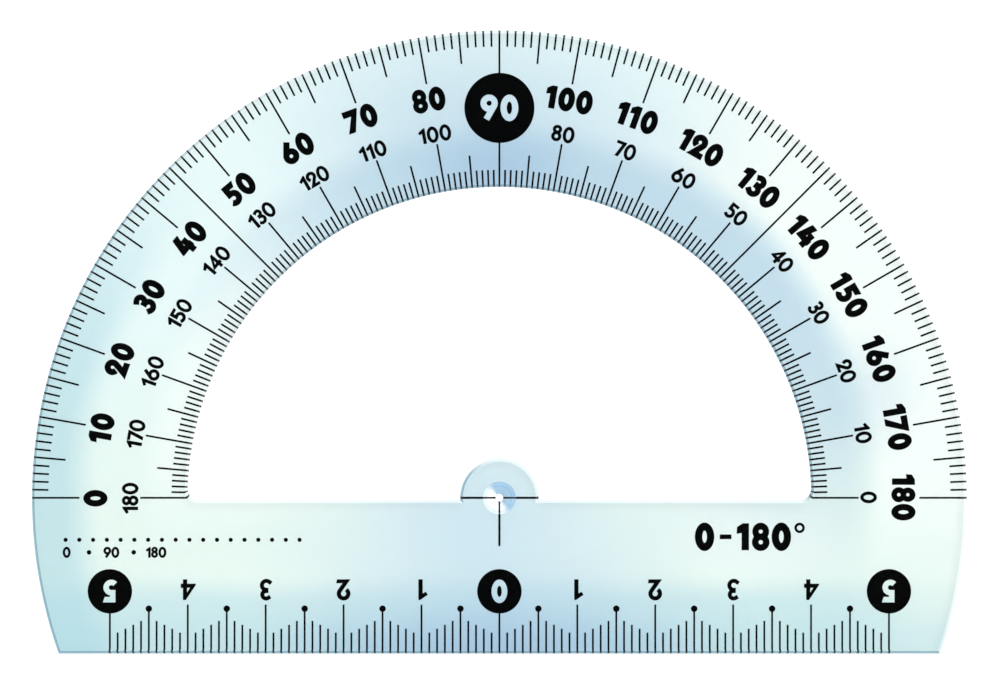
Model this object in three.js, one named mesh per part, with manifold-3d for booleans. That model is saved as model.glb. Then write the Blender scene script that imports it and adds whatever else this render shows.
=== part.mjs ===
// A 12 cm school protractor: one clear moulded plate, with black marks stamped into its underside.
//
// Millimetres, +Z up. The plate lies flat with its printed underside on Z = 0. +Y points from the
// ruler edge to the top of the arc and +X to the right. The origin is the middle of the box round
// the plate, on the underside. The shapes are drawn about the vertex, the point that angles are
// measured from, and one group places the vertex in the frame.

import * as THREE from 'three';
import { mergeVertices } from 'three/addons/utils/BufferGeometryUtils.js';
import Module from 'manifold-3d';

// The plate
const outerRadius = 60;
const openingRadius = 40;
const rulerDrop = 20;          // from the vertex down to the ruler edge
const openingDrop = 0.12;      // from the vertex down to the middle of the opening's arc
const barDrop = 0.3;           // from the vertex down to the bar's upper edge
const thickness = 1.8;
const rimChamfer = 0.4;        // round the top of every edge
const openingFillet = 1.5;     // in the two lower corners of the opening
const tabRadius = 5.05;        // the half-disc round the vertex, which stands on the bar

// The centre hole: a cone that narrows from the top face to a hole for a pencil point
const coneRadius = 2.1;
const holeRadius = 0.48;
const holeLand = 0.2;          // height of the straight hole under the cone

// The marks
const stampDepth = 0.03;       // the marks lie flush in recesses this deep
const lineWidth = 0.21;
const edgeGap = 0.1;           // from a scale's marks to the edge they are read along
const tenDegreeLength = 6;
const discRadius90 = 4.5;
const discDistance90 = 50.05;  // from the vertex to the middle of the 90 disc
const rulerDiscRadius = 2.85;
const rulerDiscDrop = 12;      // from the vertex down to the middles of the ruler's discs
const centimetreLength = 6.1;
const vertexLineStart = 0.55;  // the two arms of the vertex line run from beside the hole
const vertexLineEnd = 5;
const stemStart = 0.65;        // the line below the vertex
const stemEnd = 6.2;

// How finely round shapes are faceted
const rimSegments = 240;
const arcSegments = 120;
const filletSegments = 8;
const tabSegments = 32;
const holeSegments = 40;
const discSegments = 64;

const overcut = 1;             // how far a cutter passes beyond the face that it cuts

const wasm = await Module();
wasm.setup();

const plastic = { color: 0xd3e8ee, roughness: 0.12, metalness: 0, transparent: true, opacity: 0.6 };
const ink = { color: 0x14181b, roughness: 0.55, metalness: 0 };

// ---- solids ----

function toSolid(geometry) {
  const bare = geometry.clone();
  bare.deleteAttribute('normal');
  bare.deleteAttribute('uv');
  const merged = mergeVertices(bare, 1e-4);
  return new wasm.Manifold(new wasm.Mesh({
    numProp: 3,
    vertProperties: new Float32Array(merged.attributes.position.array),
    triVerts: new Uint32Array(merged.index.array),
  }));
}

function toGeometry(solid) {
  const mesh = solid.getMesh();
  const geometry = new THREE.BufferGeometry();
  geometry.setAttribute('position', new THREE.BufferAttribute(mesh.vertProperties, 3));
  geometry.setIndex(new THREE.BufferAttribute(mesh.triVerts, 1));
  geometry.computeVertexNormals();
  return geometry;
}

// A solid of revolution about the Z axis, from a profile of [radius, height] points that runs from
// the axis at the bottom to the axis at the top.
function turned(profile, segments) {
  const points = profile.map(([radius, height]) => new THREE.Vector2(radius, height));
  return new THREE.LatheGeometry(points, segments).rotateX(Math.PI / 2);
}

// A straight-sided solid from an outline in the XY plane.
function extruded(outline, bottom, top) {
  const depth = top - bottom;
  return new THREE.ExtrudeGeometry(new THREE.Shape(outline), { depth, bevelEnabled: false })
    .translate(0, 0, bottom);
}

// The points of an arc from one angle to another, both ends included.
function arc(centreX, centreY, radius, from, to, segments) {
  const points = [];
  for (let i = 0; i <= segments; i++) {
    const angle = from + (to - from) * i / segments;
    points.push(new THREE.Vector2(
      centreX + radius * Math.cos(angle),
      centreY + radius * Math.sin(angle),
    ));
  }
  return points;
}

// ---- the plate ----

function makeDisc() {
  return toSolid(turned([
    [0, 0],
    [outerRadius, 0],
    [outerRadius, thickness - rimChamfer],
    [outerRadius - rimChamfer, thickness],
    [0, thickness],
  ], rimSegments));
}

// Everything beyond the ruler edge, with the chamfer along its top.
function makeRulerCutter() {
  const profile = [
    [-rulerDrop, -overcut],
    [-rulerDrop, thickness - rimChamfer],
    [-rulerDrop + rimChamfer + overcut, thickness + overcut],
    [-outerRadius - overcut, thickness + overcut],
    [-outerRadius - overcut, -overcut],
  ].map(([y, z]) => new THREE.Vector2(y, z));
  const halfLength = outerRadius + overcut;
  const cutter = extruded(profile, -halfLength, halfLength);
  // The profile's own axes become Y and Z, and the extrusion runs along X.
  cutter.applyMatrix4(new THREE.Matrix4().makeBasis(
    new THREE.Vector3(0, 1, 0),
    new THREE.Vector3(0, 0, 1),
    new THREE.Vector3(1, 0, 0),
  ));
  return toSolid(cutter);
}

// The outline of the half-round opening, with filleted lower corners and the tab standing into it.
function openingOutline() {
  const filletY = openingFillet - barDrop;
  const filletRise = filletY + openingDrop;
  const filletX = Math.sqrt((openingRadius - openingFillet) ** 2 - filletRise ** 2);
  const filletAngle = Math.atan2(filletRise, filletX);
  const tabAngle = Math.asin(barDrop / tabRadius);
  const quarter = Math.PI / 2;
  return [
    ...arc(filletX, filletY, openingFillet, -quarter, filletAngle, filletSegments),
    ...arc(0, -openingDrop, openingRadius, filletAngle, Math.PI - filletAngle, arcSegments).slice(1, -1),
    ...arc(-filletX, filletY, openingFillet, Math.PI - filletAngle, 3 * quarter, filletSegments),
    ...arc(0, 0, tabRadius, Math.PI + tabAngle, -tabAngle, tabSegments),
  ];
}

// The opening, and the flare that chamfers its top edge. The flare starts a little inside the
// opening's wall, so that the two cutters cross instead of touching.
function makeOpeningCutter() {
  const outline = openingOutline();
  const inset = 0.1;
  const flare = new THREE.ExtrudeGeometry(new THREE.Shape(outline), {
    depth: overcut,
    bevelEnabled: true,
    bevelSegments: 1,
    bevelThickness: rimChamfer + inset,
    bevelSize: rimChamfer + inset,
    bevelOffset: -inset,
  }).translate(0, 0, thickness);
  return toSolid(extruded(outline, -overcut, thickness + overcut)).add(toSolid(flare));
}

function makeHoleCutter() {
  const slope = (coneRadius - holeRadius) / (thickness - holeLand);
  return toSolid(turned([
    [0, -overcut],
    [holeRadius, -overcut],
    [holeRadius, holeLand],
    [coneRadius + slope * overcut, thickness + overcut],
    [0, thickness + overcut],
  ], holeSegments));
}

// ---- the marks ----

// Each mark is one outline, which makes both the ink and the recess in the plate that holds it.

function barOutline(x1, y1, x2, y2) {
  const start = new THREE.Vector2(x1, y1);
  const end = new THREE.Vector2(x2, y2);
  const along = end.clone().sub(start).normalize();
  const side = new THREE.Vector2(-along.y, along.x).multiplyScalar(lineWidth / 2);
  return [
    start.clone().sub(side),
    end.clone().sub(side),
    end.clone().add(side),
    start.clone().add(side),
  ];
}

// A line that points at the vertex, from one distance to another.
function radialOutline(degrees, from, to) {
  const angle = THREE.MathUtils.degToRad(degrees);
  const x = Math.cos(angle);
  const y = Math.sin(angle);
  return barOutline(from * x, from * y, to * x, to * y);
}

// A disc with an upright line through or out of it, as one outline: the disc's edge is followed
// all the way round, and stops short to run out along each line.
function discOutline(x, y, radius, topEnd, bottomEnd) {
  const half = lineWidth / 2;
  const gap = Math.asin(half / radius);
  const quarter = Math.PI / 2;
  const points = arc(x, y, radius, -quarter + gap, quarter - gap, discSegments / 2);
  if (topEnd > y + radius) {
    points.push(new THREE.Vector2(x + half, topEnd), new THREE.Vector2(x - half, topEnd));
  }
  points.push(...arc(x, y, radius, quarter + gap, 3 * quarter - gap, discSegments / 2));
  points.push(new THREE.Vector2(x - half, bottomEnd), new THREE.Vector2(x + half, bottomEnd));
  return points;
}

function makeOutlines() {
  const outlines = new Map();
  const outerEnd = outerRadius - edgeGap;
  const innerEnd = openingRadius + edgeGap;
  const rulerEnd = -rulerDrop + edgeGap;

  outlines.set('disc_90', discOutline(0, discDistance90, discRadius90, outerEnd, innerEnd));
  for (const [name, x] of [['disc_0', 0], ['disc_5_left', -50], ['disc_5_right', 50]]) {
    outlines.set(name, discOutline(x, -rulerDiscDrop, rulerDiscRadius, -rulerDiscDrop, rulerEnd));
  }

  outlines.set('vertex_line_left', barOutline(-vertexLineEnd, 0, -vertexLineStart, 0));
  outlines.set('vertex_line_right', barOutline(vertexLineStart, 0, vertexLineEnd, 0));
  outlines.set('vertex_line_down', barOutline(0, -stemStart, 0, -stemEnd));

  for (let degrees = 0; degrees <= 180; degrees += 10) {
    if (degrees === 90) continue;
    outlines.set(`outer_line_${degrees}`,
      radialOutline(180 - degrees, outerRadius - tenDegreeLength, outerEnd));
    outlines.set(`inner_line_${degrees}`,
      radialOutline(degrees, innerEnd, openingRadius + tenDegreeLength));
  }
  outlines.set('line_45', radialOutline(135, innerEnd, outerEnd));
  outlines.set('line_135', radialOutline(45, innerEnd, outerEnd));

  for (const side of ['left', 'right']) {
    for (let centimetre = 1; centimetre <= 4; centimetre++) {
      const x = 10 * centimetre * (side === 'left' ? -1 : 1);
      outlines.set(`ruler_line_${centimetre}_${side}`,
        barOutline(x, rulerEnd + centimetreLength, x, rulerEnd));
    }
  }
  return outlines;
}

// ---- the assembly ----

function makePlate(outlines) {
  let plate = makeDisc()
    .subtract(makeRulerCutter())
    .subtract(makeOpeningCutter())
    .subtract(makeHoleCutter());
  for (const outline of outlines.values()) {
    plate = plate.subtract(toSolid(extruded(outline, -overcut, stampDepth)));
  }
  return toGeometry(plate);
}

function named(name, geometry, look) {
  const mesh = new THREE.Mesh(geometry, new THREE.MeshStandardMaterial(look));
  mesh.name = name;
  return mesh;
}

const outlines = makeOutlines();
const aboutVertex = new THREE.Group();
aboutVertex.position.y = (rulerDrop - outerRadius) / 2;
aboutVertex.add(named('plate', makePlate(outlines), plastic));
for (const [name, outline] of outlines) {
  aboutVertex.add(named(name, extruded(outline, 0, stampDepth), ink));
}

const protractor = new THREE.Group();
protractor.name = 'protractor';
protractor.add(aboutVertex);

export default protractor;
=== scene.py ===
# A clear plastic school protractor that lies printed side down on a white table, seen from above.
#
# Metres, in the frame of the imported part: the plate lies on Z = 0, +Y points from the ruler edge to
# the top of the arc and +X to the right. Shapes are drawn about the vertex, the point that angles
# are measured from, and every piece's origin is at that point. Figures are drawn with a height of 1.

import math

import bpy
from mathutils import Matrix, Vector
from mathutils.geometry import delaunay_2d_cdt


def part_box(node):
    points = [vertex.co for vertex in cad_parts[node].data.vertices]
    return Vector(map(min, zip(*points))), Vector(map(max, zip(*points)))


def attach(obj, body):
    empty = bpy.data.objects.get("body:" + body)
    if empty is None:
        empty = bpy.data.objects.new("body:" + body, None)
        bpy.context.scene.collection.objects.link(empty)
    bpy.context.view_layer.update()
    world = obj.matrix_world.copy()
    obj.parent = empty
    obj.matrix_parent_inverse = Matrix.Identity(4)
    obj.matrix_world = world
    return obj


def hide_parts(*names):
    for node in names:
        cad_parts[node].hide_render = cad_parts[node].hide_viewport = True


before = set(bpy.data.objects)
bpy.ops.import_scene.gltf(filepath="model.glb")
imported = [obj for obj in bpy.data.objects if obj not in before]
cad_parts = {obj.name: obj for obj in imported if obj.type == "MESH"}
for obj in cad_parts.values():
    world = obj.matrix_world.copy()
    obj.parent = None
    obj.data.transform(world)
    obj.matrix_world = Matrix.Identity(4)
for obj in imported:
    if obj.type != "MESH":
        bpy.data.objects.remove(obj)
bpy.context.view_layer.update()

mm = 0.001

# The plate. Its overall sizes come from the frame.
plate_low, plate_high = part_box("plate")
outer_radius = (plate_high.x - plate_low.x) / 2
thickness = plate_high.z - plate_low.z
vertex = Vector((0, plate_high.y - outer_radius, 0))
ruler_drop = vertex.y - plate_low.y
opening_radius = outer_radius * 2 / 3
opening_drop = 0.12 * mm        # from the vertex down to the middle of the opening's arc
bar_drop = 0.3 * mm             # from the vertex down to the bar's upper edge
opening_fillet = 1.5 * mm
tab_radius = 5.05 * mm
top_round = 0.5 * mm            # the radius along the top of every edge
bottom_round = 0.06 * mm
cone_radius = 2.1 * mm          # the hole for a pencil point: a cone down to a short straight hole
hole_radius = 0.48 * mm
hole_land = 0.2 * mm

# The printing, a film on the underside that reaches a little way into the plate
film_bottom = -0.01 * mm
film_top = 0.02 * mm
line_width = 0.24 * mm
edge_gap = 0.1 * mm             # from a degree scale's marks to the edge they are read along
tick_lengths = {1: 2 * mm, 5: 4 * mm, 10: 6 * mm}
disc_90_radius = 4.5 * mm
disc_90_distance = 50.05 * mm
ruler_disc_radius = 2.85 * mm
ruler_disc_drop = 12 * mm
half_ruler = 50                 # millimetres each way from the ruler's zero
ruler_ticks = {0: 6.1 * mm, 1: 2.5 * mm, 2: 3 * mm, 3: 3.5 * mm, 4: 4 * mm, 5: 5.57 * mm}
ruler_gap = 0.2 * mm            # from the ruler's marks to the ruler edge
ruler_dot_radius = 0.42 * mm
vertex_line_width = 0.28 * mm
vertex_line = (0.5 * mm, 5 * mm)    # where its two arms start and end
vertex_stem = (0.45 * mm, 6.2 * mm)

# The figures
ink_bleed = 0.055 * mm          # how far the ink of a figure spreads beyond its outline
outer_number_radius = 51.86 * mm
outer_number_height = 2.84 * mm
outer_number_shift = -0.06 * mm     # sideways from the line that a number belongs to
inner_number_radius = 47.39 * mm
inner_number_height = 1.91 * mm
inner_number_shift = -0.055 * mm
ruler_number_drop = 11.79 * mm
ruler_number_height = 2.55 * mm
ruler_number_shifts = {1: 0.19 * mm, 2: -0.03 * mm, 3: 0.05 * mm, 4: 0.07 * mm}
disc_90_number_height = 3.22 * mm
ruler_disc_number_height = 2.85 * mm

# The line of dots to write a name on, and the two plain number marks on the bar
name_dot_count = 18
name_dot_start = -55.69 * mm
name_dot_pitch = 1.767 * mm
name_dot_drop = 5.39 * mm
name_dot_radius = 0.27 * mm
label_numbers = ("0", "90", "180")
label_start = -55.55 * mm
label_pitch = 5.74 * mm
label_drop = 7.0 * mm
label_height = 1.25 * mm
label_dot_radius = 0.3 * mm
emblem_centre = (32.3 * mm, -5.0 * mm)
emblem_height = 3.35 * mm
emblem_zero = -1.78             # the emblem's parts, in heights from its centre
emblem_dash = (-1.2, -0.75)
emblem_dash_thickness = 0.18
emblem_180 = 0.49
emblem_sign = (1.86, 0.34)
emblem_sign_radii = (0.2, 0.1)

# How finely round shapes are faceted, and how exactly outlines are joined
rim_steps = 480
opening_steps = 320
fillet_steps = 12
tab_steps = 48
hole_steps = 64
round_steps = 6
disc_steps = 96
dot_steps = 24
figure_steps = 56
bend_steps = 28
precision = 1e-7
inside_loops = 1                # the triangulation keeps only what lies inside the loops


# ---- outlines ----

def arc(x, y, radius, start, end, steps):
    """The points of an arc between two angles in degrees, both ends included."""
    angles = [math.radians(start + (end - start) * step / steps) for step in range(steps + 1)]
    return [(x + radius * math.cos(angle), y + radius * math.sin(angle)) for angle in angles]


def ellipse(x, y, half_width, half_height, steps):
    turns = [2 * math.pi * step / steps for step in range(steps)]
    return [(x + half_width * math.cos(turn), y + half_height * math.sin(turn)) for turn in turns]


def ribbon(path, width):
    """The outline of an even stroke along a path."""
    left = []
    right = []
    for index, (x, y) in enumerate(path):
        before = path[max(index - 1, 0)]
        after = path[min(index + 1, len(path) - 1)]
        along = (after[0] - before[0], after[1] - before[1])
        scale = width / 2 / math.hypot(*along)
        left.append((x - along[1] * scale, y + along[0] * scale))
        right.append((x + along[1] * scale, y - along[0] * scale))
    return left + right[::-1]


def rectangle(left, bottom, right, top):
    return [(left, bottom), (right, bottom), (right, top), (left, top)]


def turned(outline, degrees):
    cos = math.cos(math.radians(degrees))
    sin = math.sin(math.radians(degrees))
    return [(x * cos - y * sin, x * sin + y * cos) for x, y in outline]


def moved(outline, x, y):
    return [(x + point[0], y + point[1]) for point in outline]


# ---- painted layers ----

# A mark is a list of layers, painted in order: an outline that adds ink, or one that clears it.

def ink(outline):
    return (True, outline)


def gap(outline):
    return (False, outline)


def reshaped(layers, change):
    """The same layers, with a function applied to every outline."""
    return [(adds, change(outline)) for adds, outline in layers]


def anticlockwise(outline):
    following = outline[1:] + outline[:1]
    doubled_area = sum(x * y_next - x_next * y for (x, y), (x_next, y_next) in zip(outline, following))
    return outline if doubled_area > 0 else outline[::-1]


def widened(outline, distance):
    """The outline moved outwards all round, with its corners kept unless they are very sharp."""
    outline = [Vector(point) for point in anticlockwise(outline)]
    result = []
    sharpest = 0.5
    for before, here, after in zip(outline[-1:] + outline[:-1], outline, outline[1:] + outline[:1]):
        arriving = (here - before).normalized()
        leaving = (after - here).normalized()
        along = (arriving + leaving).normalized()
        reach = distance / max(along.dot(arriving), sharpest)
        result.append((here.x + along.y * reach, here.y - along.x * reach))
    return result


def inked_area(layers):
    """The area left inked once all layers are painted: its points and triangles."""
    points = []
    loops = []
    for _, outline in layers:
        loops.append(list(range(len(points), len(points) + len(outline))))
        points.extend(Vector(point) for point in anticlockwise(outline))
    result = delaunay_2d_cdt(points, [], loops, inside_loops, precision, True)
    corners, triangles, covering = result[0], result[2], result[5]
    kept = [list(face) for face, over in zip(triangles, covering) if over and layers[max(over)][0]]
    return corners, kept


# ---- meshes ----

def prism(points, triangles, bottom, top):
    """A closed straight-sided solid on a flat area: its vertices and faces."""
    used = sorted({index for face in triangles for index in face})
    place = {old: new for new, old in enumerate(used)}
    count = len(used)
    vertices = [(points[index].x, points[index].y, z) for z in (bottom, top) for index in used]
    faces = [[place[index] for index in face] for face in triangles]
    edges = {edge for face in faces for edge in zip(face, face[1:] + face[:1])}
    border = sorted(edge for edge in edges if edge[::-1] not in edges)
    walls = [(a, b, b + count, a + count) for a, b in border]
    return vertices, [face[::-1] for face in faces] + [[i + count for i in face] for face in faces] + walls


def new_piece(name, solids, material):
    """One object from several solids, with its origin at the vertex."""
    vertices = []
    faces = []
    for solid_vertices, solid_faces in solids:
        start = len(vertices)
        vertices.extend(solid_vertices)
        faces.extend([index + start for index in face] for face in solid_faces)
    mesh = bpy.data.meshes.new(name)
    mesh.from_pydata(vertices, [], faces)
    mesh.validate()
    mesh.materials.append(material)
    piece = bpy.data.objects.new(name, mesh)
    piece.location = vertex
    bpy.context.scene.collection.objects.link(piece)
    return piece


def printed(name, marks, material, nodes=()):
    """A piece of printing from marks in painted layers, each one on its own."""
    solids = [prism(*inked_area(layers), film_bottom, film_top) for layers in marks]
    piece = new_piece(name, solids, material)
    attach(piece, "root")
    if nodes:
        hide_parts(*nodes)


# ---- the plate ----

def plate_outline(inset):
    """The plate's outline, drawn in by an inset."""
    radius = outer_radius - inset
    corner = math.degrees(math.asin((inset - ruler_drop) / radius))
    return arc(0, 0, radius, corner, 180 - corner, rim_steps)


def opening_outline(inset):
    """The outline of the half-round opening with the tab in it, widened by an inset."""
    radius = opening_radius + inset
    fillet_y = opening_fillet - bar_drop
    rise = fillet_y + opening_drop
    fillet_x = math.sqrt((opening_radius - opening_fillet) ** 2 - rise ** 2)
    corner = math.degrees(math.atan2(rise, fillet_x))
    tab = tab_radius - inset
    tab_end = math.degrees(math.asin((bar_drop + inset) / tab))
    fillet = opening_fillet + inset
    return (
        arc(fillet_x, fillet_y, fillet, -90, corner, fillet_steps)[:-1]
        + arc(0, -opening_drop, radius, corner, 180 - corner, opening_steps)
        + arc(-fillet_x, fillet_y, fillet, 180 - corner, 270, fillet_steps)[1:]
        + arc(0, 0, tab, 180 + tab_end, -tab_end, tab_steps)
    )


def hole_outline(radius):
    return ellipse(0, 0, radius, radius, hole_steps)


def edge_profile():
    """(inset, height) up the side of the plate, from its flat underside to its flat top."""
    profile = []
    for step in range(round_steps + 1):
        turn = math.pi / 2 * step / round_steps
        profile.append((bottom_round * (1 - math.sin(turn)), bottom_round * (1 - math.cos(turn))))
    for step in range(round_steps + 1):
        turn = math.pi / 2 * step / round_steps
        height = thickness - top_round * (1 - math.sin(turn))
        profile.append((top_round * (1 - math.cos(turn)), height))
    return profile


def make_plate(material):
    profile = edge_profile()
    hole_profile = [(hole_radius, 0), (hole_radius, hole_land), (cone_radius, thickness)]
    stacks = [
        [(plate_outline(inset), height) for inset, height in profile],
        [(opening_outline(inset), height) for inset, height in profile],
        [(hole_outline(radius), height) for radius, height in hole_profile],
    ]
    vertices = []
    faces = []
    bottom_rings = []
    top_rings = []
    for stack in stacks:
        rings = []
        for outline, height in stack:
            rings.append(list(range(len(vertices), len(vertices) + len(outline))))
            vertices.extend((x, y, height) for x, y in outline)
        for lower, upper in zip(rings, rings[1:]):
            sides = zip(lower, lower[1:] + lower[:1], upper[1:] + upper[:1], upper)
            outward = stack is stacks[0]
            faces.extend(side if outward else side[::-1] for side in sides)
        bottom_rings.append(rings[0])
        top_rings.append(rings[-1])
    faces.extend(face[::-1] for face in flat_face(vertices, bottom_rings))
    faces.extend(flat_face(vertices, top_rings))

    plate = new_piece("clear_plate", [(vertices, faces)], material)
    # The edges are shaded round, and the flat faces keep their own normals.
    sharp_edge = math.radians(24)
    level = 0.999
    plate.data.set_sharp_from_angle(angle=sharp_edge)
    for face in plate.data.polygons:
        face.use_smooth = abs(face.normal.z) < level
    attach(plate, "root")
    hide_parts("plate")


def flat_face(vertices, rings):
    """Triangles between the first ring and the others, which are holes in it."""
    members = [index for ring in rings for index in ring]
    points = [Vector(vertices[index][:2]) for index in members]
    loops = []
    start = 0
    for ring in rings:
        loops.append(list(range(start, start + len(ring))))
        start += len(ring)
    result = delaunay_2d_cdt(points, [], loops, inside_loops, precision, True)
    triangles, sources, covering = result[2], result[3], result[5]
    return [
        [members[sources[corner][0]] for corner in face]
        for face, over in zip(triangles, covering)
        if list(over) == [0]
    ]


# ---- figures ----

# The outer scale has heavy figures and the inner scale and the ruler have light ones. Both are
# drawn from the same parts, with a height of 1 and their left side at 0. A bowl is the middle and
# the outer radius of a round stroke, and room is what is kept free to a figure's left and right.

heavy = {
    "stroke": 0.245,
    "bar": 0.25,
    "zero": {"size": (0.356, 0.53), "hole": (0.105, 0.25)},
    "one": [(0.44, 1), (0.44, 0), (0.19, 0), (0.19, 0.665), (0, 0.63), (0.015, 0.87), (0.225, 1)],
    "two": {"bowl": (0.34, 0.693, 0.338), "start": 242, "spine": -30, "foot": (0.02, 0.73, 0.71)},
    "three": {
        "stroke": 0.228,
        "upper": (0.33, 0.728, 0.298),
        "lower": (0.318, 0.297, 0.325),
        "ends": (118, -128),
        "lead": 0.14,
        "stub": 0.225,
    },
    "four": [
        ink([(0, 0.2), (0, 0.25), (0.19, 1), (0.486, 1), (0.335, 0.45), (0.71, 0.45), (0.71, 0.2)]),
        ink(rectangle(0.412, 0, 0.66, 0.7)),
    ],
    "five": {
        "stem": (0.09, 0.44),
        "top": (0.66, 0.57),
        "bowl": (0.276, 0.33, 0.355),
        "ends": (96, -138),
    },
    "six": {"bowl": (0.355, 0.313, 0.345), "tip": (0.466, 0.952)},
    "seven": [(0.01, 1), (0.7, 1), (0.7, 0.96), (0.315, 0), (0.03, 0), (0.385, 0.74), (0.02, 0.74)],
    "eight": {
        "upper": (0.325, 0.7, 0.306, 0.326),
        "lower": (0.325, 0.292, 0.322, 0.32),
        "upper_hole": (0.095, 0.092),
        "lower_hole": (0.1, 0.098),
    },
    "room": [
        (0.052, 0.052), (0.035, 0.095), (0.008, 0.017), (0, 0.051), (0.01, 0.069),
        (0.03, 0.034), (0.03, 0.043), (0.02, 0.017), (0.05, 0.06), (0.04, 0.056),
    ],
}
light = {
    "stroke": 0.172,
    "bar": 0.155,
    "zero": {"size": (0.367, 0.53), "hole": (0.197, 0.36)},
    "one": [(0.42, 1), (0.42, 0), (0.245, 0), (0.245, 0.725), (0.075, 0.63), (0, 0.75), (0.355, 1)],
    "two": {"bowl": (0.325, 0.7, 0.325), "start": 232, "spine": -35, "foot": (0.02, 0.64, 0.67)},
    "three": {
        "stroke": 0.162,
        "upper": (0.325, 0.755, 0.272),
        "lower": (0.31, 0.282, 0.308),
        "ends": (122, -128),
        "lead": 0.11,
        "stub": 0.23,
    },
    "four": [
        ink([(0, 0.22), (0, 0.25), (0.5, 1), (0.61, 1), (0.61, 0.39), (0.72, 0.39), (0.72, 0.22)]),
        ink(rectangle(0.44, 0, 0.61, 0.3)),
        gap([(0.44, 0.69), (0.44, 0.385), (0.235, 0.385)]),
    ],
    "five": {
        "stem": (0.035, 0.48),
        "top": (0.57, 0.53),
        "bowl": (0.255, 0.325, 0.348),
        "ends": (106, -140),
    },
    "six": {"bowl": (0.36, 0.333, 0.36), "tip": (0.485, 0.985)},
    "seven": [(0, 1), (0.63, 1), (0.63, 0.96), (0.33, 0), (0.145, 0), (0.415, 0.845), (0.01, 0.845)],
    "eight": {
        "upper": (0.315, 0.76, 0.29, 0.27),
        "lower": (0.315, 0.29, 0.315, 0.315),
        "upper_hole": (0.125, 0.115),
        "lower_hole": (0.15, 0.155),
    },
    "room": [
        (0.062, 0.062), (0.03, 0.072), (0.02, 0.015), (0.02, 0.033), (0, 0.03),
        (0.03, 0.033), (0.035, 0.045), (0.01, -0.026), (0.05, 0.062), (0.04, 0.035),
    ],
}


def draw_0(style):
    half_width, half_height = style["zero"]["size"]
    hole_width, hole_height = style["zero"]["hole"]
    return [
        ink(ellipse(half_width, 0.5, half_width, half_height, figure_steps)),
        gap(ellipse(half_width, 0.5, hole_width, hole_height, figure_steps)),
    ]


def draw_1(style):
    return [ink(style["one"])]


def draw_2(style):
    """A bowl that runs straight on into a sloping spine, which is cut off level with the foot."""
    look = style["two"]
    x, y, radius = look["bowl"]
    stroke = style["stroke"]
    path = arc(x, y, radius - stroke / 2, look["start"], look["spine"], bend_steps)
    spine = math.radians(look["spine"])
    below = 0.2
    reach = (path[-1][1] + below) / math.cos(spine)
    path.append((path[-1][0] + math.sin(spine) * reach, -below))
    left, right, right_top = look["foot"]
    bar = style["bar"]
    return [
        ink(ribbon(path, stroke)),
        ink([(left, 0), (right, 0), (right_top, bar), (left + stroke, bar)]),
        gap(rectangle(-1, -1, 1, 0)),
    ]


def draw_3(style):
    """Two bowls whose ends run straight for a little, joined at a short stub."""
    look = style["three"]
    layers = []
    for bowl, end, turn in ((look["upper"], look["ends"][0], 1), (look["lower"], look["ends"][1], -1)):
        x, y, radius = bowl
        path = arc(x, y, radius - look["stroke"] / 2, end, -90 * turn, bend_steps)
        angle = math.radians(end)
        lead_x = path[0][0] - turn * look["lead"] * math.sin(angle)
        lead_y = path[0][1] + turn * look["lead"] * math.cos(angle)
        path = [(lead_x, lead_y)] + path + [(look["stub"], path[-1][1])]
        layers.append(ink(ribbon(path, look["stroke"])))
    return layers


def draw_4(style):
    return style["four"]


def draw_5(style):
    look = style["five"]
    stroke = style["stroke"]
    x, y, radius = look["bowl"]
    left, bottom = look["stem"]
    right, right_bottom = look["top"]
    under = 1 - style["bar"]
    return [
        ink([(left, under), (right_bottom, under), (right, 1), (left, 1)]),
        ink(rectangle(left, bottom, left + stroke, 1)),
        ink(ribbon(arc(x, y, radius - stroke / 2, *look["ends"], bend_steps), stroke)),
    ]


def draw_6(style):
    """A round bowl with a straight leg that leaves it at a tangent."""
    x, y, radius = style["six"]["bowl"]
    tip = style["six"]["tip"]
    stroke = style["stroke"]
    middle = radius - stroke / 2
    distance = math.hypot(tip[0] - x, tip[1] - y)
    angle = math.atan2(tip[1] - y, tip[0] - x) + math.acos(middle / distance)
    touch = (x + middle * math.cos(angle), y + middle * math.sin(angle))
    return [
        ink(ellipse(x, y, radius, radius, figure_steps)),
        ink(ribbon([touch, tip], stroke)),
        gap(ellipse(x, y, radius - stroke, radius - stroke, figure_steps)),
    ]


def draw_7(style):
    return [ink(style["seven"])]


def draw_8(style):
    look = style["eight"]
    layers = [ink(ellipse(*look[bowl], figure_steps)) for bowl in ("upper", "lower")]
    for bowl, hole in (("upper", "upper_hole"), ("lower", "lower_hole")):
        x, y = look[bowl][:2]
        layers.append(gap(ellipse(x, y, *look[hole], figure_steps)))
    return layers


def draw_9(style):
    """A 6 turned half round."""
    return reshaped(draw_6(style), lambda outline: moved(turned(outline, 180), 0, 1))


draw_figure = [draw_0, draw_1, draw_2, draw_3, draw_4, draw_5, draw_6, draw_7, draw_8, draw_9]


def placed_left(layers):
    """The layers moved so that their ink starts at 0, and the width of the ink."""
    corners, triangles = inked_area(layers)
    across = [corners[index].x for face in triangles for index in face]
    start = min(across)
    return reshaped(layers, lambda outline: moved(outline, -start, 0)), max(across) - start


def number(text, style):
    """The figures of a number, centred on 0, one list of layers for each figure."""
    figures = []
    x = 0
    for index, character in enumerate(text):
        value = int(character)
        left_room, right_room = style["room"][value]
        layers, width = placed_left(draw_figure[value](style))
        x += left_room if index > 0 else 0
        figures.append((x, layers))
        x += width
        end = x
        x += right_room
    half = end / 2
    return [reshaped(layers, lambda outline: moved(outline, start - half, -0.5)) for start, layers in figures]


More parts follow.
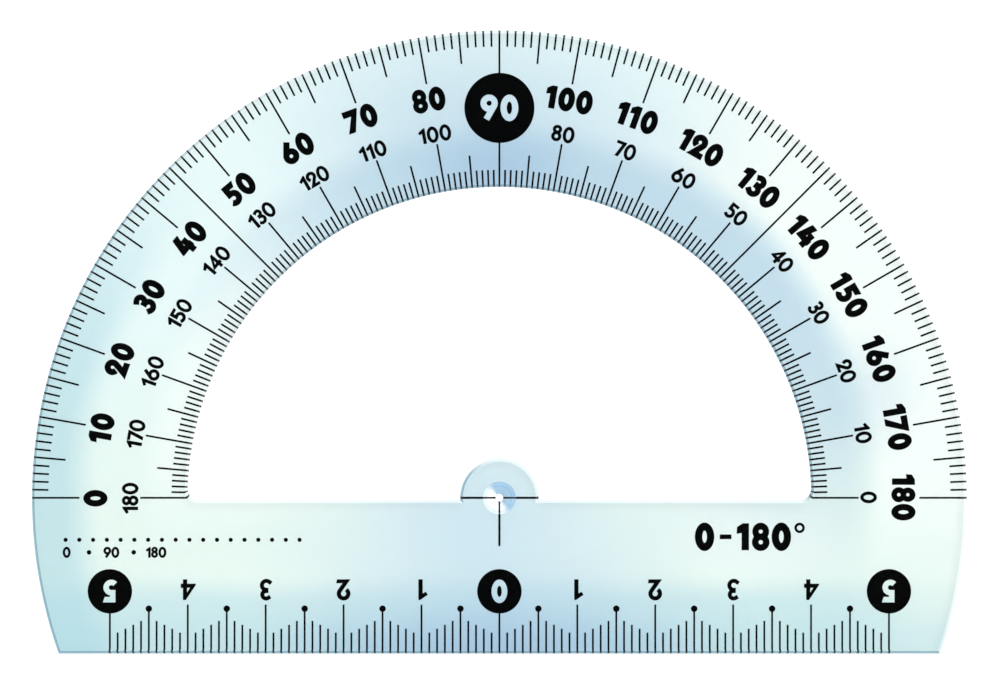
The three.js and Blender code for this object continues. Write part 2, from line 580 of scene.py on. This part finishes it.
def set_type(marks, height, x, y, degrees, bleed=ink_bleed):
    """Marks of height 1 about 0, brought to a height, inked, turned and put in place."""
    def change(adds, outline):
        scaled = [(height * point[0], height * point[1]) for point in outline]
        return moved(turned(widened(scaled, bleed if adds else -bleed), degrees), x, y)
    return [[(adds, change(adds, outline)) for adds, outline in layers] for layers in marks]


# ---- the printing ----

def line(x1, y1, x2, y2, width=line_width):
    return [ink(ribbon([(x1, y1), (x2, y2)], width))]


def radial_line(degrees, start, end):
    cos = math.cos(math.radians(degrees))
    sin = math.sin(math.radians(degrees))
    return line(start * cos, start * sin, end * cos, end * sin)


def dot(x, y, radius):
    return [ink(ellipse(x, y, radius, radius, dot_steps))]


def tick_length(value):
    for step in (10, 5, 1):
        if value % step == 0:
            return tick_lengths[step]


def degree_marks(start, inward):
    """A line for every degree but 90, 45 and 135, from a radius inwards or outwards."""
    marks = []
    for degrees in range(181):
        if degrees in (45, 90, 135):
            continue
        length = tick_length(degrees)
        end = start - length if inward else start + length
        marks.append(radial_line(degrees, min(start, end), max(start, end)))
    return marks


def scale_numbers(style, radius, height, shift, reading):
    """The numbers round a scale, with their feet towards the vertex."""
    marks = []
    for value in range(0, 181, 10):
        if value == 90:
            continue
        degrees = reading(value)
        angle = math.radians(degrees)
        x = radius * math.cos(angle) + shift * math.sin(angle)
        y = radius * math.sin(angle) - shift * math.cos(angle)
        marks += set_type(number(str(value), style), height, x, y, degrees - 90)
    return marks


def disc_with_number(x, y, radius, stub, text, height, degrees):
    """A black disc with a line running through or out of it and a number left clear in it."""
    layers = [ink(ellipse(x, y, radius, radius, disc_steps))] + stub
    for figure in set_type(number(text, heavy), height, x, y, degrees, bleed=0):
        layers += [(not adds, outline) for adds, outline in figure]
    return layers


def make_scales(material):
    outer_end = outer_radius - edge_gap
    inner_end = opening_radius + edge_gap
    tens = [degrees for degrees in range(0, 181, 10) if degrees != 90]
    printed("outer_degree_scale", degree_marks(outer_end, True), material,
            [f"outer_line_{degrees}" for degrees in tens])
    printed("inner_degree_scale", degree_marks(inner_end, False), material,
            [f"inner_line_{degrees}" for degrees in tens])
    printed("half_right_angle_lines",
            [radial_line(degrees, inner_end, outer_end) for degrees in (45, 135)],
            material, ["line_45", "line_135"])
    stub = line(0, inner_end, 0, outer_end)
    disc = disc_with_number(0, disc_90_distance, disc_90_radius, stub, "90", disc_90_number_height, 0)
    printed("disc_90_mark", [disc], material, ["disc_90"])
    printed("vertex_cross", [
        line(-vertex_line[1], 0, -vertex_line[0], 0, vertex_line_width),
        line(vertex_line[0], 0, vertex_line[1], 0, vertex_line_width),
        line(0, -vertex_stem[0], 0, -vertex_stem[1], vertex_line_width),
    ], material, ["vertex_line_left", "vertex_line_right", "vertex_line_down"])


def make_numbers(material):
    printed("outer_numerals", scale_numbers(
        heavy, outer_number_radius, outer_number_height, outer_number_shift,
        lambda value: 180 - value), material)
    printed("inner_numerals", scale_numbers(
        light, inner_number_radius, inner_number_height, inner_number_shift,
        lambda value: value), material)


def make_ruler(material):
    edge = ruler_gap - ruler_drop
    marks = []
    for millimetre in range(-half_ruler, half_ruler + 1):
        if millimetre % half_ruler == 0:
            continue
        x = millimetre * mm
        nearest = min(millimetre % 10, -millimetre % 10)
        top = edge + ruler_ticks[nearest]
        marks.append(line(x, edge, x, top))
        if nearest == 5:
            marks[-1] += dot(x, top, ruler_dot_radius)
    lines = [f"ruler_line_{centimetre}_{side}" for centimetre in range(1, 5) for side in ("left", "right")]
    printed("centimetre_scale", marks, material, lines)

    for name, x, text in (
        ("disc_0", 0, "0"),
        ("disc_5_left", -half_ruler * mm, "5"),
        ("disc_5_right", half_ruler * mm, "5"),
    ):
        stub = line(x, edge, x, -ruler_disc_drop)
        disc = disc_with_number(
            x, -ruler_disc_drop, ruler_disc_radius, stub, text, ruler_disc_number_height, 180)
        printed(f"{name}_mark", [disc], material, [name])

    numbers = []
    for centimetre in range(1, 5):
        for side in (-1, 1):
            x = side * centimetre * 10 * mm
            x += ruler_number_shifts[centimetre]
            figures = number(str(centimetre), light)
            numbers += set_type(figures, ruler_number_height, x, -ruler_number_drop, 180)
    printed("ruler_numerals", numbers, material)


def make_name_line(material):
    dots = [
        dot(name_dot_start + index * name_dot_pitch, -name_dot_drop, name_dot_radius)
        for index in range(name_dot_count)
    ]
    printed("name_line_dots", dots, material)

    marks = []
    for index, text in enumerate(label_numbers):
        x = label_start + index * label_pitch
        marks += set_type(number(text, light), label_height, x, -label_drop, 0)
        if index > 0:
            marks.append(dot(x - label_pitch / 2, -label_drop, label_dot_radius))
    printed("range_label", marks, material)


def make_emblem(material):
    """A plain range of angles, 0 to 180 degrees, on the right of the bar."""
    x, y = emblem_centre
    marks = []
    for text, shift in (("0", emblem_zero), ("180", emblem_180)):
        marks += set_type(number(text, heavy), emblem_height, x + shift * emblem_height, y, 0)
    dash_start, dash_end = (x + shift * emblem_height for shift in emblem_dash)
    marks.append(line(dash_start, y, dash_end, y, emblem_dash_thickness * emblem_height))
    sign_x = x + emblem_sign[0] * emblem_height
    sign_y = y + emblem_sign[1] * emblem_height
    outer, inner = (radius * emblem_height for radius in emblem_sign_radii)
    marks.append([
        ink(ellipse(sign_x, sign_y, outer, outer, figure_steps)),
        gap(ellipse(sign_x, sign_y, inner, inner, figure_steps)),
    ])
    printed("degree_emblem", marks, material)


# ---- material parts ----

class Shader:
    """A material or world under construction, with short calls for the nodes used here."""

    def __init__(self, tree):
        self.tree = tree

    def node(self, kind, **settings):
        node = self.tree.nodes.new(kind)
        for key, value in settings.items():
            setattr(node, key, value)
        return node

    def put(self, value, socket):
        if isinstance(value, bpy.types.NodeSocket):
            self.tree.links.new(value, socket)
        else:
            socket.default_value = value

    def math(self, operation, *values):
        node = self.node("ShaderNodeMath", operation=operation)
        for value, socket in zip(values, node.inputs):
            self.put(value, socket)
        return node.outputs[0]

    def vector(self, operation, *values):
        node = self.node("ShaderNodeVectorMath", operation=operation)
        for value, socket in zip(values, node.inputs):
            self.put(value, socket)
        return node.outputs["Value" if operation in ("LENGTH", "DOT_PRODUCT") else "Vector"]

    def ramp(self, value, start, end, low=0.0, high=1.0):
        """A smooth step from low to high as the value goes from start to end."""
        node = self.node("ShaderNodeMapRange", interpolation_type="SMOOTHSTEP")
        self.put(value, node.inputs["Value"])
        self.put(start, node.inputs["From Min"])
        self.put(end, node.inputs["From Max"])
        self.put(low, node.inputs["To Min"])
        self.put(high, node.inputs["To Max"])
        return node.outputs["Result"]

    def noise(self, place, scale, detail, roughness=0.5, output="Fac"):
        node = self.node("ShaderNodeTexNoise")
        self.put(place, node.inputs["Vector"])
        self.put(scale, node.inputs["Scale"])
        self.put(detail, node.inputs["Detail"])
        self.put(roughness, node.inputs["Roughness"])
        return node.outputs[output]

    def mix(self, factor, first, second):
        """A blend of two colours. The node's colour sockets come after its number and vector ones."""
        node = self.node("ShaderNodeMix", data_type="RGBA")
        self.put(factor, node.inputs["Factor"])
        self.put(first, node.inputs[6])
        self.put(second, node.inputs[7])
        return node.outputs[2]

    def bump(self, height, distance, strength, normal=None):
        node = self.node("ShaderNodeBump")
        self.put(height, node.inputs["Height"])
        self.put(distance, node.inputs["Distance"])
        self.put(strength, node.inputs["Strength"])
        if normal is not None:
            self.put(normal, node.inputs["Normal"])
        return node.outputs["Normal"]

    def times(self, *factors):
        product = factors[0]
        for factor in factors[1:]:
            product = self.math("MULTIPLY", product, factor)
        return product

    def along(self, direction, degrees):
        """How far a direction points towards an angle: the cosine of the turn between them."""
        angle = math.radians(degrees)
        return self.vector("DOT_PRODUCT", direction, (math.cos(angle), math.sin(angle), 0))

    def facing(self, place, degrees, start, end):
        """0 to 1 as a place's direction from the vertex turns towards an angle."""
        return self.ramp(self.along(self.vector("NORMALIZE", place), degrees), start, end)

    def level(self, place):
        """The place or direction with its height left out."""
        return self.vector("MULTIPLY", place, (1, 1, 0))

    def length(self, place):
        return self.vector("LENGTH", place)

    def scaled(self, place, scale):
        node = self.node("ShaderNodeVectorMath", operation="SCALE")
        self.put(place, node.inputs[0])
        self.put(scale, node.inputs["Scale"])
        return node.outputs[0]

    def in_millimetres(self, place):
        return self.scaled(place, 1 / mm)

    def split(self, place):
        node = self.node("ShaderNodeSeparateXYZ")
        self.put(place, node.inputs[0])
        return list(node.outputs)

    def object_place(self):
        return self.node("ShaderNodeTexCoord").outputs["Object"]


def new_material(name):
    material = bpy.data.materials.new(name)
    material.use_nodes = True
    return material, Shader(material.node_tree), material.node_tree.nodes["Principled BSDF"]


# ---- the clear plastic ----

# Linear colours of light that has passed once through the plate
green_mint = (0.716, 0.819, 0.778, 1)
cyan_mint = (0.721, 0.83, 0.83, 1)
# Painted light, for the palest areas of the plate
painted_light_mint = (0.797, 0.86, 0.84, 1)
# Painted shade, for the plate's blue areas
painted_shade_deep_blue = (0.424, 0.583, 0.697, 1)
painted_shade_teal_blue = (0.424, 0.64, 0.7, 1)
painted_shade_sky_blue = (0.44, 0.61, 0.76, 1)
painted_shade_low_blue = (0.3, 0.45, 0.64, 1)
# Painted shade on the walls of the cone
painted_shade_cone_blue = (0.376, 0.548, 0.693, 1)
painted_shade_high_cone_blue = (0.19, 0.37, 0.59, 1)
# Painted shade and a painted highlight on the rims
painted_shade_rim_blue = (0.11, 0.23, 0.3, 1)
painted_highlight_rim = (0.84, 0.9, 0.91, 1)
clear = (1, 1, 1, 1)


def wandering(shader, place):
    """The place in millimetres, moved about a little, so that the mint and the painted light and shade spread
    unevenly.
    """
    reach = 3.0
    noise = shader.noise(place, scale=38.0, detail=2.0, output="Color")
    wander = shader.vector("SUBTRACT", noise, (0.5, 0.5, 0.5))
    return shader.vector("ADD", shader.in_millimetres(place), shader.scaled(wander, reach))


def paint_plate(shader, place):
    """Mint all over, with painted light where it is palest at the sides and painted blue shade in soft areas
    along the edges.

    Places are in millimetres and directions in degrees, about the vertex. Where two limits are
    given, an area begins at the first and is full at the second.
    """
    place = wandering(shader, place)
    x, y, _ = shader.split(place)
    below = shader.math("MULTIPLY", y, -1.0)
    radius = shader.length(shader.level(place))
    beyond_tab = shader.ramp(radius, 15.0, 35.0)

    def arc_area(direction, turn, radii):
        """A part of the arc. Its turn from its direction is given as cosines."""
        return shader.times(shader.facing(place, direction, *turn), shader.ramp(radius, *radii), beyond_tab)

    def bar_area(drops, fading=None):
        """All that lies below a drop from the vertex, fading to a part between two places on X."""
        area = shader.ramp(below, *drops)
        return shader.times(area, shader.ramp(x, *fading, low=1.0, high=0.25)) if fading else area

    def spot(centre, half_size):
        """An ellipse, full in the middle and fading out to its edge."""
        offset = shader.level(shader.vector("SUBTRACT", place, (*centre, 0)))
        return shader.ramp(shader.length(shader.vector("DIVIDE", offset, (*half_size, 1))), 1.0, 0.0)

    up_the_arc = shader.ramp(y, -5.0, 30.0)
    tint_and_shade = shader.mix(up_the_arc, green_mint, cyan_mint)
    # Painted light in the bright mint areas and painted shade in the blue ones, as if the plate were lit from
    # the upper right
    for area, depth, colour in (
        (arc_area(direction=29, turn=(0.72, 0.93), radii=(46.5, 50.0)), 1.0, painted_light_mint),
        (arc_area(direction=158, turn=(0.85, 0.98), radii=(47.0, 43.0)), 0.7, painted_light_mint),
        (spot(centre=(33, -5), half_size=(15, 9)), 0.7, painted_light_mint),
        (arc_area(direction=68, turn=(-0.05, 0.95), radii=(50.0, 44.5)), 0.7, painted_shade_deep_blue),
        (arc_area(direction=187, turn=(0.55, 0.98), radii=(51.0, 56.5)), 0.66, painted_shade_teal_blue),
        (bar_area(drops=(9.5, 13.8), fading=(42.0, 56.0)), 0.5, painted_shade_teal_blue),
        (bar_area(drops=(13.0, 18.5)), 0.34, painted_shade_teal_blue),
        (spot(centre=(0, -18), half_size=(38, 14)), 0.8, painted_shade_deep_blue),
        (spot(centre=(-2, -6), half_size=(35, 12)), 0.44, painted_shade_sky_blue),
        (spot(centre=(-3, 3), half_size=(22, 13)), 0.4, painted_shade_sky_blue),
        (spot(centre=(47, 13), half_size=(9, 11)), 0.28, painted_shade_deep_blue),
        (spot(centre=(-3, 47), half_size=(34, 20)), 0.6, painted_shade_deep_blue),
        (spot(centre=(0, 42), half_size=(13, 7)), 0.4, painted_shade_low_blue),
        (spot(centre=(-2, -20), half_size=(40, 7)), 0.5, painted_shade_low_blue),
        (spot(centre=(24, 44), half_size=(16, 14)), 0.12, painted_shade_deep_blue),
    ):
        tint_and_shade = shader.mix(shader.times(area, depth), tint_and_shade, colour)
    return tint_and_shade


def paint_rims(shader, tint_and_shade):
    """A painted highlight, pale, where a rim faces the light at the upper right, and painted shade, deep
    blue, where it faces away from it.
    """
    away_from_light = 225
    normal = shader.node("ShaderNodeNewGeometry").outputs["True Normal"]
    upright = shader.math("ABSOLUTE", shader.split(normal)[2])
    on_rim = shader.ramp(upright, 0.99, 0.93)
    shaded = shader.facing(shader.level(normal), away_from_light, -0.65, 0.25)
    return shader.mix(on_rim, tint_and_shade, shader.mix(shaded, painted_highlight_rim, painted_shade_rim_blue))


def paint_cone(shader, place, tint_and_shade):
    """Painted light and shade on the cone, whose walls face its middle: left clear as painted light at the
    lower left, which faces the light at the upper right, and painted blue shade at the upper right.

    The painted shade is deeper higher up the wall.
    """
    shaded_direction = 36
    place = shader.in_millimetres(place)
    height = shader.split(place)[2]
    from_vertex = shader.level(place)
    edge = cone_radius / mm
    in_cone = shader.ramp(shader.length(from_vertex), edge, edge - 0.05)
    blue = shader.mix(shader.ramp(height, 0.9, 1.4), painted_shade_cone_blue, painted_shade_high_cone_blue)
    shaded = shader.facing(from_vertex, shaded_direction, -0.45, 0.25)
    return shader.mix(in_cone, tint_and_shade, shader.mix(shaded, clear, blue))


def finish_of_moulding(shader, place):
    """The roughness and the normal: handled patches, a faint flow in the plastic and fine scratches."""
    handling = shader.noise(place, scale=90.0, detail=5.0, roughness=0.6)
    roughness = shader.ramp(handling, 0.35, 0.75, low=0.02, high=0.07)
    flow = shader.noise(place, scale=60.0, detail=1.0)
    along_y = shader.vector("MULTIPLY", place, (2600.0, 90.0, 1.0))
    scratches = shader.ramp(shader.noise(along_y, scale=1.0, detail=2.0), 0.68, 0.78)
    smooth = shader.bump(flow, distance=0.3 * mm, strength=0.03)
    return roughness, shader.bump(scratches, distance=0.004 * mm, strength=0.3, normal=smooth)


def clear_plastic():
    """Clear moulded polystyrene, faintly mint, with the light and shade of its surroundings painted into its
    colour.
    """
    material, shader, principled = new_material("clear_polystyrene_with_painted_shade")
    place = shader.object_place()
    tint_and_shade = paint_rims(shader, paint_plate(shader, place))
    roughness, normal = finish_of_moulding(shader, place)
    shader.put(paint_cone(shader, place, tint_and_shade), principled.inputs["Base Color"])
    shader.put(roughness, principled.inputs["Roughness"])
    shader.put(normal, principled.inputs["Normal"])
    principled.inputs["Transmission Weight"].default_value = 1.0
    principled.inputs["IOR"].default_value = 1.59
    return material


# ---- the ink and the table ----

def black_ink():
    """Stamped black ink: nearly even, a little mottled, matt with a fine grain."""
    material, shader, principled = new_material("stamped_black_ink")
    place = shader.object_place()
    mottle = shader.noise(place, scale=700.0, detail=4.0)
    black = (0.0005, 0.0006, 0.0007, 1)
    grey = (0.002, 0.0022, 0.0025, 1)
    shader.put(shader.mix(shader.ramp(mottle, 0.3, 0.7), black, grey), principled.inputs["Base Color"])
    shader.put(shader.ramp(mottle, 0.3, 0.7, low=0.5, high=0.68), principled.inputs["Roughness"])
    grain = shader.noise(place, scale=6000.0, detail=2.0)
    normal = shader.bump(grain, distance=0.005 * mm, strength=0.4)
    shader.put(normal, principled.inputs["Normal"])
    principled.inputs["Specular IOR Level"].default_value = 0.06
    return material


def table_top():
    """A matt white sheet that is also lit from below."""
    material, shader, principled = new_material("white_light_table")
    cloud = shader.noise(shader.object_place(), scale=6.0, detail=3.0)
    darker = (0.33, 0.33, 0.33, 1)
    lighter = (0.35, 0.35, 0.35, 1)
    shader.put(shader.mix(shader.ramp(cloud, 0.3, 0.7), darker, lighter), principled.inputs["Base Color"])
    principled.inputs["Roughness"].default_value = 0.9
    principled.inputs["Specular IOR Level"].default_value = 0.0
    principled.inputs["Emission Color"].default_value = (1, 1, 1, 1)
    principled.inputs["Emission Strength"].default_value = 1.0
    material.cycles.emission_sampling = "NONE"
    return material


# ---- the studio ----

def make_table():
    half = 20.0
    height = -0.05 * mm
    mesh = bpy.data.meshes.new("table")
    corners = [(x, y, height) for x, y in rectangle(-half, -half, half, half)]
    mesh.from_pydata(corners, [], [(0, 1, 2, 3)])
    mesh.materials.append(table_top())
    table = bpy.data.objects.new("table", mesh)
    bpy.context.scene.collection.objects.link(table)


def make_light():
    """A soft bright ring round the sky, brightest at the upper right, with a dark patch overhead."""
    bright_direction = 50
    brightness = 1.2
    world = bpy.data.worlds.new("studio")
    world.use_nodes = True
    bpy.context.scene.world = world
    shader = Shader(world.node_tree)
    direction = shader.node("ShaderNodeTexCoord").outputs["Generated"]
    height = shader.split(direction)[2]
    ring = shader.ramp(height, 0.86, 0.96, low=1.0, high=0.015)
    sideways = shader.ramp(shader.along(direction, bright_direction), -0.9, 0.9, low=0.5, high=1.5)
    background = world.node_tree.nodes["Background"]
    background.inputs["Color"].default_value = (1, 1, 1, 1)
    shader.put(shader.times(ring, sideways, brightness), background.inputs["Strength"])


def make_camera():
    """Straight overhead, and so far away that the plate is seen almost without perspective."""
    picture_width = 128.4 * mm
    aim = (0.075 * mm, -0.32 * mm)
    camera = bpy.data.objects.new("camera", bpy.data.cameras.new("camera"))
    camera.data.lens = 600
    camera.data.sensor_width = 36
    distance = picture_width * camera.data.lens / camera.data.sensor_width
    camera.location = (*aim, distance)
    bpy.context.scene.collection.objects.link(camera)
    bpy.context.scene.camera = camera


def make_picture_settings():
    """Plain colours, and no softening of what is seen through the plastic."""
    scene = bpy.context.scene
    scene.view_settings.view_transform = "Standard"
    scene.cycles.use_denoising = True
    scene.cycles.blur_glossy = 0


black = black_ink()
make_plate(clear_plastic())
make_scales(black)
make_numbers(black)
make_ruler(black)
make_name_line(black)
make_emblem(black)
make_table()
make_light()
make_camera()
make_picture_settings()
